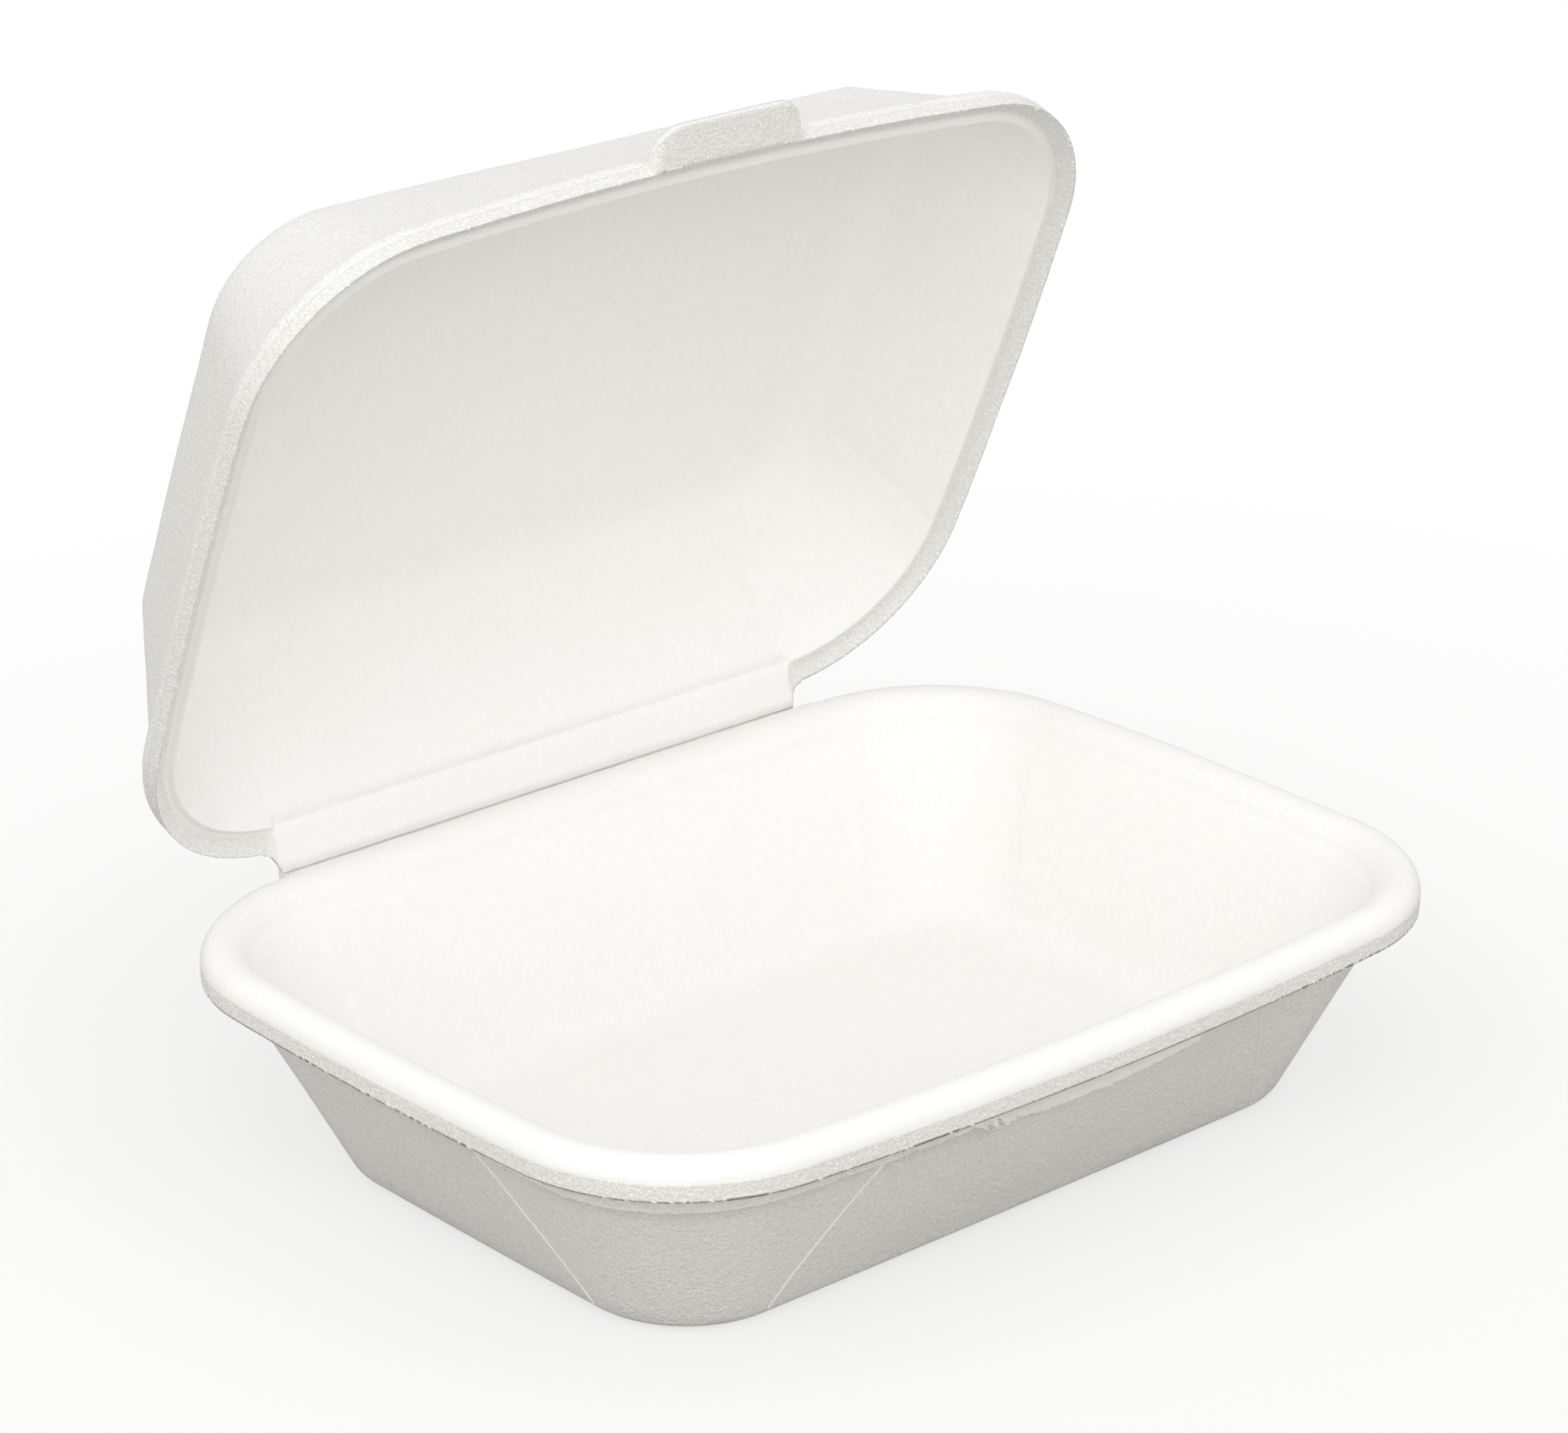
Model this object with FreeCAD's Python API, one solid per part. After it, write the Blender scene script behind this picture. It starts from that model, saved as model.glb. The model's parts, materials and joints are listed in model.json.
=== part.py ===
import FreeCAD, Part
import math
import os

from FreeCAD import Vector

# Hinged food container thermoformed from one foam sheet: a tray and a lid joined by a living hinge
# along the back edge. The frame has its origin at the centre of the tray's bottom, X along the
# hinge, the hinge at the back (+Y) and the latch at the front (-Y). The lid stands part open.
# Sections are drawn as (inset, height): inset runs inwards from an outline, height from the table.

# Tray rim outline, seen from above, at the trimmed edge
rim_width = 185.0
rim_depth = 137.0
rim_corner_radius = 33.0
front_bow = 5.0          # degrees each side of centre through which the front side curves
back_bow = 1.5           # the back side is nearly straight, for the hinge
end_bow = 2.5            # half of each short end

# Rolled rim of the tray
roll_inset = 3.9         # trimmed edge to crest
roll_drop = 3.0          # crest to the top of the trimmed face
cut_height = 3.1         # bare foam face left by trimming
roll_inner_width = 4.2   # crest to the foot of the roll's inner side
roll_inner_drop = 3.7
ledge_width = 0.9        # small shelf between the roll and the tray's wall
ledge_drop = 0.7
sheet = 2.9              # foam thickness
roll_slack = 0.75        # the foam is this much thicker over the hollow under the rim
pocket_inset = 5.2       # outer wall's face where it leaves the rim

# Tray below the rim
tray_height = 39.2
base_width = 138.0       # flat of the bottom, inside its rounded foot
base_depth = 87.5
base_corner_radius = 16.0
panel_bow = 0.6          # the wall panels are almost flat
foot_radius = 3.5
floor_radius = 8.0       # inside corner between floor and wall

# Lid, measured in its closed place
lid_margin = 4.7         # the lid's edge lies inside the tray's by this much at each end
lid_front_margin = 7.2   # and by this much at the front
lid_corner_radius = 31.0
nest_gap = 0.3           # air between the closed rims
lid_cut_height = 2.4
lid_roll_inset = 3.2     # top of the trimmed edge to the crease at the dome's outer wall
lid_roll_rise = 3.6
lid_lip_inset = 5.2      # foot of the trimmed edge to the lip of the dome's cavity
lid_lip_rise = 2.5
lid_height = 31.6        # tray's crest to the lid's flat top
top_width = 137.5        # flat of the lid's top, inside its rounded edge
top_depth = 85.0
top_set_back = 2.5       # the top's centre lies behind the tray's centre
top_corner_radius = 15.0
top_edge_radius = 3.5
top_inner_radius = 8.0

# Living hinge
hinge_length = 113.0
hinge_set_back = 2.0     # fold line behind the rim's back edge
hinge_drop = 2.7         # fold line below the tray's crest
hinge_thickness = 1.4    # the sheet is pressed thin along the fold
strip_drop = 0.9         # the strip to the fold leaves the tray's roll this far below its crest
strip_inset = 1.8        # and enters the lid's rim this far inside its trimmed edge
strip_rise = 1.7         # and this far above the edge's lower corner
fold_gap = 0.15          # each half stops this far short of the fold line
notch_radius = 2.9       # rounded notch at each end of the hinge
lid_angle = 67.0         # how far the lid stands open from closed

# Latch
tab_width = 31.0
tab_reach = 6.5          # past the lid's trimmed edge
tab_root = 3.0           # how far it runs back into the lid's rim
tab_root_rise = 2.2      # its underside rises with the rim's hollow there
tab_seat = 0.5           # the slanted underside starts this far inside the rim's edge
tab_height = 3.2
tab_tip_height = 1.0     # the underside is cut on a slant and leaves this much at the tip
tab_corner_radius = 5.5
slit_length = 47.0
slit_height = 4.2        # at the middle of the lens-shaped slit under the front rim
slit_clearance = 0.8     # below the rim's trimmed face

overrun = 1.0            # cutting shapes run this far past the foam


def outline(width, depth, radius, front, back, end, shift=0.0):
    """Arcs of a rounded rectangle with bowed sides, as (centre, radius, first angle, last angle)."""
    half_width, half_depth = width / 2, depth / 2

    def quarter(bow):
        long_turn, end_turn = math.radians(bow), math.radians(end)
        sin_l, cos_l = math.sin(long_turn), math.cos(long_turn)
        sin_e, cos_e = math.sin(end_turn), math.cos(end_turn)
        depth_left = half_depth - radius * (cos_l - sin_e)
        width_left = half_width - radius * (cos_e - sin_l)
        scale = sin_e * sin_l - (1 - cos_l) * (1 - cos_e)
        end_radius = (depth_left * sin_l - width_left * (1 - cos_l)) / scale
        long_radius = (width_left * sin_e - depth_left * (1 - cos_e)) / scale
        reach = end_radius - radius
        return end_radius, long_radius, half_width - end_radius + reach * cos_e, reach * sin_e

    back_end, back_long, back_x, back_y = quarter(back)
    front_end, front_long, front_x, front_y = quarter(front)
    arcs = [
        (half_width - back_end, 0, back_end, 0, end),
        (back_x, back_y, radius, end, 90 - back),
        (0, half_depth - back_long, back_long, 90 - back, 90 + back),
        (-back_x, back_y, radius, 90 + back, 180 - end),
        (back_end - half_width, 0, back_end, 180 - end, 180),
        (front_end - half_width, 0, front_end, 180, 180 + end),
        (-front_x, -front_y, radius, 180 + end, 270 - front),
        (0, front_long - half_depth, front_long, 270 - front, 270 + front),
        (front_x, -front_y, radius, 270 + front, 360 - end),
        (half_width - front_end, 0, front_end, 360 - end, 360),
    ]
    return [((x, y + shift), size, first, last) for x, y, size, first, last in arcs]


def spot(arc, angle, inset, height):
    (centre_x, centre_y), radius, _, _ = arc
    turn = math.radians(angle)
    reach = radius - inset
    return Vector(centre_x + reach * math.cos(turn), centre_y + reach * math.sin(turn), height)


def ring(arcs, point):
    """The outline moved in to one (inset, height), as edges."""
    edges = []
    for arc in arcs:
        first, last = arc[2], arc[3]
        marks = [spot(arc, angle, *point) for angle in (first, (first + last) / 2, last)]
        edges.append(Part.Arc(*marks).toShape())
    return edges


def swept(arcs, section):
    """Faces that carry a section round an outline. Two points are a line and three an arc."""
    faces = []
    for arc in arcs:
        (centre_x, centre_y), _, first, last = arc
        for piece in section:
            marks = [spot(arc, first, inset, height) for inset, height in piece]
            curve = Part.Arc(*marks) if len(marks) == 3 else Part.LineSegment(*marks)
            pivot = Vector(centre_x, centre_y, 0)
            faces.append(curve.toShape().revolve(pivot, Vector(0, 0, 1), last - first))
    return faces


def ruled(lower, upper):
    return [Part.makeRuledSurface(a, b) for a, b in zip(lower, upper)]


def closed_solid(faces):
    shell = Part.makeShell(faces)
    shell.sewShape()
    solid = Part.makeSolid(shell)
    if solid.Volume < 0:
        solid.reverse()
    return solid


def crown(start, crest):
    """An arc from start that arrives level at crest, as three points."""
    run, rise = crest[0] - start[0], crest[1] - start[1]
    radius = (run * run + rise * rise) / (2 * abs(rise))
    half_turn = math.asin(min(1.0, abs(run) / radius)) / 2
    if abs(rise) > abs(run):
        half_turn = math.pi / 2 - half_turn
    side = math.copysign(1, run)
    lift = math.copysign(1, rise)
    middle = (crest[0] - side * radius * math.sin(half_turn),
              crest[1] - lift * radius * (1 - math.cos(half_turn)))
    return [start, middle, crest]


def rounded_corner(floor_height, radius, lean, centre_inset, grow):
    """Arc from a level face up into a wall that leans out by lean degrees from level.
    grow is 1 where the face is below and -1 where it is above."""
    points = []
    for part in (0, 0.5, 1):
        turn = math.radians(lean * part)
        points.append((centre_inset - radius * math.sin(turn),
                       floor_height + grow * radius * (1 - math.cos(turn))))
    return points


def inner_corner_inset(outer_radius, inner_radius, lean):
    """Where the inner corner's flat begins, so that the leaning wall keeps the sheet's thickness."""
    turn = math.radians(lean)
    wall = (sheet * math.sin(turn) - outer_radius * math.sin(turn),
            outer_radius * (1 - math.cos(turn)) + sheet * math.cos(turn))
    centre_height = sheet + inner_radius
    return wall[0] + (inner_radius - (centre_height - wall[1]) * math.cos(turn)) / math.sin(turn)


def moulded_shell(rim_arcs, outer, inner, edge, panel_arcs, level, outer_radius, inner_radius, grow):
    """A thin dish: rim sections outside and inside, leaning walls, a flat with rounded edges."""
    wall_top, lip = outer[-1][-1], inner[-1][-1]
    run_x = panel_arcs[0][0][0] + panel_arcs[0][1] - rim_arcs[0][0][0] - rim_arcs[0][1] + wall_top[0]
    lean = math.degrees(math.atan2(abs(wall_top[1] - level), abs(run_x)))
    inner_inset = inner_corner_inset(outer_radius, inner_radius, lean)
    outer_edge = rounded_corner(level, outer_radius, lean, 0, grow)
    inner_edge = rounded_corner(level + grow * sheet, inner_radius, lean, inner_inset, grow)
    faces = swept(rim_arcs, outer + inner + [edge])
    faces += swept(panel_arcs, [outer_edge, inner_edge])
    faces += ruled(ring(panel_arcs, outer_edge[-1]), ring(rim_arcs, wall_top))
    faces += ruled(ring(panel_arcs, inner_edge[-1]), ring(rim_arcs, lip))
    for point in (outer_edge[0], inner_edge[0]):
        faces.append(Part.Face(Part.Wire(ring(panel_arcs, point))))
    return closed_solid(faces)


def bar(points, half_length):
    """A solid along X from an outline of (y, z) points, centred on x = 0."""
    corners = [Vector(-half_length, y, z) for y, z in points]
    side = Part.Face(Part.makePolygon(corners + corners[:1]))
    return side.extrude(Vector(2 * half_length, 0, 0))


def upright(x, y, radius, low, high):
    return Part.makeCylinder(radius, high - low, Vector(x, y, low))


crest = tray_height
half_depth = rim_depth / 2
fold_y = half_depth + hinge_set_back
fold_z = crest - hinge_drop
cut_top = crest - roll_drop
cut_bottom = cut_top - cut_height
hinge_half = hinge_length / 2 + notch_radius
below, above = -overrun, crest + lid_height + overrun


def notched(solid):
    """Rounds out the notch at each end of the hinge."""
    for x in (-hinge_half, hinge_half):
        solid = solid.cut(upright(x, fold_y, notch_radius, below, above))
    return solid


def tray():
    rim = outline(rim_width, rim_depth, rim_corner_radius, front_bow, back_bow, end_bow)
    base = outline(base_width, base_depth, base_corner_radius, panel_bow, panel_bow, panel_bow)
    summit = (roll_inset, crest)
    roll_foot = (roll_inset + roll_inner_width, crest - roll_inner_drop)
    ledge = (roll_foot[0] + ledge_width, roll_foot[1] - ledge_drop)
    top_skin = [crown((0, cut_top), summit), crown(roll_foot, summit), [roll_foot, ledge]]
    pocket_top = (pocket_inset / 2, crest - sheet - roll_slack)
    pocket_end = (pocket_inset, cut_bottom)
    under_skin = [crown((0, cut_bottom), pocket_top), crown(pocket_end, pocket_top)]
    under_skin[1].reverse()
    trimmed = [(0, cut_bottom), (0, cut_top)]
    body = moulded_shell(rim, under_skin, top_skin, trimmed, base, 0, foot_radius, floor_radius, 1)

    under_fold = fold_z - fold_gap - hinge_thickness
    root = half_depth - roll_inset
    strip = bar([(root, crest - strip_drop), (fold_y - fold_gap, fold_z - fold_gap),
                 (fold_y - fold_gap, under_fold), (root, crest - sheet)], hinge_half)
    unrolled = bar([(root, crest - sheet), (fold_y, under_fold), (fold_y, cut_bottom - overrun),
                    (root, cut_bottom - overrun)], hinge_half - notch_radius)
    body = notched(body.cut(unrolled).fuse(strip))

    slit_top = cut_bottom - slit_clearance
    ends = [Vector(x, -half_depth, slit_top) for x in (-slit_length / 2, slit_length / 2)]
    low = Vector(0, -half_depth, slit_top - slit_height)
    lens = Part.Wire([Part.LineSegment(*ends).toShape(), Part.Arc(ends[1], low, ends[0]).toShape()])
    return body.cut(Part.Face(lens).extrude(Vector(0, half_depth, 0)))


def lid():
    rim = outline(rim_width - 2 * lid_margin, rim_depth - lid_front_margin, lid_corner_radius,
                  front_bow, back_bow, end_bow, lid_front_margin / 2)
    top = outline(top_width, top_depth, top_corner_radius, panel_bow, panel_bow, panel_bow, top_set_back)
    edge_low = crest + nest_gap
    edge_high = edge_low + lid_cut_height
    crease = (lid_roll_inset, edge_high + lid_roll_rise)
    lip = (lid_lip_inset, edge_low + lid_lip_rise)
    trimmed = [(0, edge_low), (0, edge_high)]
    body = moulded_shell(rim, [crown((0, edge_high), crease)], [crown((0, edge_low), lip)], trimmed, top,
                         crest + lid_height, top_edge_radius, top_inner_radius, -1)

    over_fold = fold_z + fold_gap + hinge_thickness
    root, strip_low = half_depth - strip_inset, edge_low + strip_rise
    strip = bar([(fold_y - fold_gap, fold_z + fold_gap), (fold_y - fold_gap, over_fold),
                 (root, strip_low + hinge_thickness), (root, strip_low)], hinge_half)
    body = notched(body.fuse(strip))

    front = lid_front_margin - half_depth
    tip, tab_back, tab_top = front - tab_reach, front + tab_root, edge_low + tab_height
    half_tab = tab_width / 2
    block = Part.makeBox(tab_width, tab_back - tip, tab_height, Vector(-half_tab, tip, edge_low))
    upright_edges = [edge for edge in block.Edges if edge.BoundBox.ZLength > tab_height / 2]
    corners = [edge for edge in upright_edges if edge.BoundBox.YMax < front]
    slanted = bar([(tab_back, edge_low + tab_root_rise), (front + tab_seat, edge_low),
                   (tip, tab_top - tab_tip_height), (tip, tab_top), (tab_back, tab_top)], half_tab)
    body = body.fuse(slanted.common(block.makeFillet(tab_corner_radius, corners)))
    body.rotate(Vector(0, fold_y, fold_z), Vector(-1, 0, 0), lid_angle)
    return body


os.makedirs("parts", exist_ok=True)
for name, make in (("tray", tray), ("lid", lid)):
    shape = make()
    print(name, "valid", shape.isValid(), "solids", len(shape.Solids), "volume mm3", round(shape.Volume),
          "box", shape.BoundBox)
    shape.exportStep(f"parts/{name}.step")
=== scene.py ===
# %% [markdown]
# # A hinged foam container, standing part open
# The real thing is one sheet of expanded polystyrene foam, heated and pressed between two moulds, then
# trimmed. The construction model gives its true size, its hinge and its latch. This lesson gives it the
# looks of moulded foam: smooth skins, a grainy trimmed edge, a pressed hinge and a torn latch slit.

# %% Load the construction model as the frame
import json
import math

import bmesh
import bpy
import numpy as np
from mathutils import Matrix, Vector, noise


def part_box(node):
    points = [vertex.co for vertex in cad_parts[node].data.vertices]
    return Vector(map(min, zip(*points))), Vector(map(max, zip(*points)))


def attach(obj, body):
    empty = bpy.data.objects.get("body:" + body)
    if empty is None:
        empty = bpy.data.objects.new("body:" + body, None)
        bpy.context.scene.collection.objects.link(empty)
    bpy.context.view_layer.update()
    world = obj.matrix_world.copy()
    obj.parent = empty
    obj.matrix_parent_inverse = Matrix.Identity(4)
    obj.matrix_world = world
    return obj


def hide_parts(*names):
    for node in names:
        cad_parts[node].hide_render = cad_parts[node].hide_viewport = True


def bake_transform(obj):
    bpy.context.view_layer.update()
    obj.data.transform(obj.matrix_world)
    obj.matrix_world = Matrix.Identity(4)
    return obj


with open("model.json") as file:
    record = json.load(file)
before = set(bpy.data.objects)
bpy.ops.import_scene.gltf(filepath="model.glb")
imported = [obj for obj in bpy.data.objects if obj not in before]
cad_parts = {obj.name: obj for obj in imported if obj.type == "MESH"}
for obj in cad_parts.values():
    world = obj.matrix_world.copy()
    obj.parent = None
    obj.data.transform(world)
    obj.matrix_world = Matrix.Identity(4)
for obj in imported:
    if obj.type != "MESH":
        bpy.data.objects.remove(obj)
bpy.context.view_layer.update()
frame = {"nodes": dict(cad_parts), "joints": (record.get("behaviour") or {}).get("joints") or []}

mm = 0.001

# %% [markdown]
# ## Sizes
# Whatever the frame knows is read from it: the tray's box, the fold line and how far the lid stands
# open. The rest are the mould's own sizes. An inset runs inwards from an outline, a height upwards from
# the table, and the lid is described in its closed place and turned open at the end.

# %% Sizes that the frame gives
tray_low, tray_high = (Vector(corner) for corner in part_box("tray"))
hinge = frame["joints"][0]
fold = Vector(hinge["pos_m"])
lid_angle = math.radians(-hinge["range_deg"][0])
rim_width = 2 * tray_high.x
half_depth = -tray_low.y
crest = tray_high.z
print("fold line at", [round(value / mm, 2) for value in fold], "lid open",
      round(math.degrees(lid_angle), 1))

# %% Sizes of the tray's mould
sheet = 2.9 * mm
rim_corner_radius = 33 * mm
front_bow, back_bow, end_bow = 5.0, 1.5, 2.5
roll_inset, roll_drop = 3.9 * mm, 3.0 * mm
roll_inner_width, roll_inner_drop = 4.2 * mm, 3.7 * mm
roll_slack = 0.75 * mm
ledge_width, ledge_drop = 0.9 * mm, 0.7 * mm
ledge_round = 0.12 * mm, 0.1 * mm       # a last row this far in and up rounds the ledge's edge
cut_height = 3.1 * mm
edge_play = 0.25 * mm       # the grain of the trimmed face stays this far inside the mould's edge
pocket_inset = 5.2 * mm
base_width, base_depth, base_corner_radius, panel_bow = 138 * mm, 87.5 * mm, 16 * mm, 0.6
foot_radius, floor_radius = 3.5 * mm, 8 * mm
cut_top = crest - roll_drop
cut_bottom = cut_top - cut_height

# %% Sizes of the lid's mould, in its closed place
lid_margin, lid_front_margin = 4.7 * mm, 7.2 * mm
lid_corner_radius = 31 * mm
nest_gap = 0.3 * mm
lid_cut_height = 2.4 * mm
lid_roll_inset, lid_roll_rise = 3.2 * mm, 3.6 * mm
lid_lip_inset, lid_lip_rise = 5.2 * mm, 2.5 * mm
lid_top = crest + 31.6 * mm
top_width, top_depth, top_corner_radius, top_set_back = 137.5 * mm, 85 * mm, 15 * mm, 2.5 * mm
top_edge_radius, top_inner_radius = 3.5 * mm, 8 * mm
edge_low = crest + nest_gap
edge_high = edge_low + lid_cut_height

# %% Sizes of the hinge, the tab and the slit
strip_half, notch_radius = 56.5 * mm, 2.9 * mm
strip_thickness, fold_gap = 1.4 * mm, 0.15 * mm
tab_half, tab_reach, tab_corner_radius = 15.5 * mm, 6.5 * mm, 5.5 * mm
tab_height, tab_tip_height = 3.2 * mm, 1.0 * mm
slit_half, slit_height, slit_clearance = 23.5 * mm, 4.2 * mm, 0.8 * mm
slit_middle = cut_bottom - slit_clearance - slit_height / 2
slit_least = 0.15 * mm      # past the slit's ends its two rows stay this far from its middle
tear_depth, tear_size = 0.35 * mm, 2.2 * mm

# %% Steps in the pressed strip
# Out from the roll's crest and down; back from the fold and off the straight strip, all in mm.
crest_steps = ((0, 0), (0.9, 0.12), (1.7, 0.45), (2.4, 1.2))
fold_steps = ((2.0, -0.35), (1.6, -0.1), (1.0, 0.05))
fold_bead = 0.5 * mm, 0.1 * mm
# On the lid: travel from the lip and rise off the strip, then travel back from the fold and rise.
lip_steps = ((0, 0), (0.35, -0.4), (0.9, -0.45), (1.4, -0.1), (2.0, 0))
lid_fold_steps = ((2.3, 0), (1.9, 0.1), (1.3, 0.2), (0.7, 0.1), (0.3, 0))
strip_back = 1.8 * mm, 3.1 * mm     # the strip's upper side comes out of the flare here
print("slit's middle at height", round(slit_middle / mm, 2), "lid's top at", round(lid_top / mm, 2))

# %% [markdown]
# ## Outlines
# Seen from above, each level of the mould is a rectangle with large rounded corners and sides that bow
# out a little. Ten arcs that run smoothly into each other make it. Two outlines share the same arcs in
# the same order, so a wall is a straight line from a spot on one to the same spot on the other.


# %% Ten arcs of an outline
def outline(width, depth, radius, front, back, end, shift=0.0):
    """Rows of centre x, centre y, radius, first angle and last angle. Bows are in degrees."""
    half_x, half_y = width / 2, depth / 2

    def quarter(bow):
        sin_l, cos_l = math.sin(math.radians(bow)), math.cos(math.radians(bow))
        sin_e, cos_e = math.sin(math.radians(end)), math.cos(math.radians(end))
        depth_left = half_y - radius * (cos_l - sin_e)
        width_left = half_x - radius * (cos_e - sin_l)
        scale = sin_e * sin_l - (1 - cos_l) * (1 - cos_e)
        end_radius = (depth_left * sin_l - width_left * (1 - cos_l)) / scale
        long_radius = (width_left * sin_e - depth_left * (1 - cos_e)) / scale
        reach = end_radius - radius
        return end_radius, long_radius, half_x - end_radius + reach * cos_e, reach * sin_e

    back_end, back_long, back_x, back_y = quarter(back)
    front_end, front_long, front_x, front_y = quarter(front)
    arcs = np.array([
        (half_x - back_end, 0, back_end, 0, end),
        (back_x, back_y, radius, end, 90 - back),
        (0, half_y - back_long, back_long, 90 - back, 90 + back),
        (-back_x, back_y, radius, 90 + back, 180 - end),
        (back_end - half_x, 0, back_end, 180 - end, 180),
        (front_end - half_x, 0, front_end, 180, 180 + end),
        (-front_x, -front_y, radius, 180 + end, 270 - front),
        (0, front_long - half_y, front_long, 270 - front, 270 + front),
        (front_x, -front_y, radius, 270 + front, 360 - end),
        (half_x - front_end, 0, front_end, 360 - end, 360),
    ])
    arcs[:, 1] += shift
    return arcs


# %% [markdown]
# ## Columns and rows
# A shell is a net of columns and rows. The columns stand round the rim, closer together where the
# shape is finer. A row is one point on every column, and a stretch of rows follows one part of the
# section, such as the roll or the trimmed face.


# %% Columns round a rim
class Loft:
    """The columns of one shell, and the rows that are laid on them."""

    probes = 600

    def __init__(self, rim, spacing):
        self.rim = rim
        arc_of, part_of = [], []
        for index, (centre_x, centre_y, radius, first, last) in enumerate(rim):
            parts = (np.arange(self.probes) + 0.5) / self.probes
            turn = np.radians(first + (last - first) * parts)
            place = centre_x + radius * np.cos(turn), centre_y + radius * np.sin(turn)
            step = math.radians(last - first) * radius / self.probes
            wanted = np.concatenate([[0], np.cumsum(step / spacing(*place))])
            count = max(2, round(wanted[-1]))
            marks = np.arange(count) / count * wanted[-1]
            share = np.interp(marks, wanted, np.linspace(0, 1, self.probes + 1))
            arc_of += [index] * count
            part_of += list(share)
        self.arc_of, self.part_of = np.array(arc_of), np.array(part_of)
        edge = self.row(rim, 0.0, 0.0)
        self.x, self.y = edge[:, 0], edge[:, 1]
        steps = np.linalg.norm(np.roll(edge, -1, axis=0) - edge, axis=1)
        self.along = np.concatenate([[0], np.cumsum(steps)[:-1]])
        self.length = steps.sum()

    def turn(self, arcs):
        first, last = arcs[self.arc_of, 3], arcs[self.arc_of, 4]
        return np.radians(first + (last - first) * self.part_of)

    def row(self, arcs, inset, height):
        turn = self.turn(arcs)
        reach = arcs[self.arc_of, 2] - inset
        x = arcs[self.arc_of, 0] + reach * np.cos(turn)
        y = arcs[self.arc_of, 1] + reach * np.sin(turn)
        return np.stack([x, y, np.broadcast_to(height, x.shape)], axis=1)

    def rows(self, arcs, section):
        """One row for each (inset, height) point of a section."""
        return [self.row(arcs, *point) for point in section]


def new_section():
    """An empty list of rows, its stretches by name, and the function that adds a stretch."""
    rows, bands = [], {}

    def add(name, new_rows):
        bands[name] = (len(rows), len(rows) + len(new_rows))
        rows.extend(new_rows)

    return rows, bands, add


# %% Stretches of rows
def even(keys, count, last=True):
    """Rows spaced evenly along the polyline that each column's key points make."""
    keys = np.array(keys)
    lengths = np.linalg.norm(np.diff(keys, axis=0), axis=2)
    travel = np.concatenate([np.zeros((1, keys.shape[1])), np.cumsum(lengths, axis=0)])
    shares = np.linspace(0, 1, count) if last else np.arange(count) / count
    rows = np.empty((count, keys.shape[1], 3))
    for column in range(keys.shape[1]):
        marks = shares * travel[-1, column]
        for axis in range(3):
            rows[:, column, axis] = np.interp(marks, travel[:, column], keys[:, column, axis])
    return list(rows)


def at_height(top, bottom, height):
    """The row on the straight wall between two rows, at a height."""
    share = (height - bottom[:, 2]) / (top[:, 2] - bottom[:, 2])
    return bottom + share[:, None] * (top - bottom)


def crown(start, peak, count=9):
    """Section points of an arc from start that arrives level at peak."""
    run, rise = peak[0] - start[0], peak[1] - start[1]
    radius = (run * run + rise * rise) / (2 * abs(rise))
    sweep = math.asin(min(1.0, abs(run) / radius))
    if abs(rise) > radius:
        sweep = math.pi - sweep
    side, lift = math.copysign(1, run), math.copysign(1, rise)
    turns = [sweep * (1 - step / (count - 1)) for step in range(count)]
    return [(peak[0] - side * radius * math.sin(turn), peak[1] - lift * radius * (1 - math.cos(turn)))
            for turn in turns]


def rounded_corner(level, radius, lean, centre_inset, grow, count=7):
    """Section points of an arc from a level face into a wall that leans by lean degrees."""
    turns = [math.radians(lean) * step / (count - 1) for step in range(count)]
    return [(centre_inset - radius * math.sin(turn), level + grow * radius * (1 - math.cos(turn)))
            for turn in turns]


def inner_corner_inset(outer_radius, inner_radius, lean):
    """Where the inner corner's flat begins, so that the leaning wall keeps the sheet's thickness."""
    turn = math.radians(lean)
    wall_inset = (sheet - outer_radius) * math.sin(turn)
    wall_rise = outer_radius * (1 - math.cos(turn)) + sheet * math.cos(turn)
    left = inner_radius - (sheet + inner_radius - wall_rise) * math.cos(turn)
    return wall_inset + left / math.sin(turn)


# %% [markdown]
# ## From net to mesh
# The net becomes a mesh with a closed fan at each end. Foam is never quite true, so its points are
# first moved along the surface's own direction by soft noise, and the trimmed face by a finer grain.
# Two numbers are kept on each point for the finish: whether it is trimmed foam, and which side it is.


# %% Noise and surface directions
def unevenness(points, size, seed, octaves=2):
    """Soft noise between about -1 and 1 at every point, with features of the given size."""
    flat = points.reshape(-1, 3) / size
    offset = Vector((seed * 17.3, seed * 5.1, seed * 9.7))
    values = [noise.fractal(Vector(point) + offset, 1.0, 2.0, octaves) for point in flat]
    return np.array(values).reshape(points.shape[:-1])


def directions(net):
    """The unit normal at every point of a net of rows and columns."""
    across = np.roll(net, -1, axis=1) - np.roll(net, 1, axis=1)
    down = np.gradient(net, axis=0)
    normal = np.cross(down, across)
    return normal / np.maximum(np.linalg.norm(normal, axis=2, keepdims=True), 1e-12)


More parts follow.
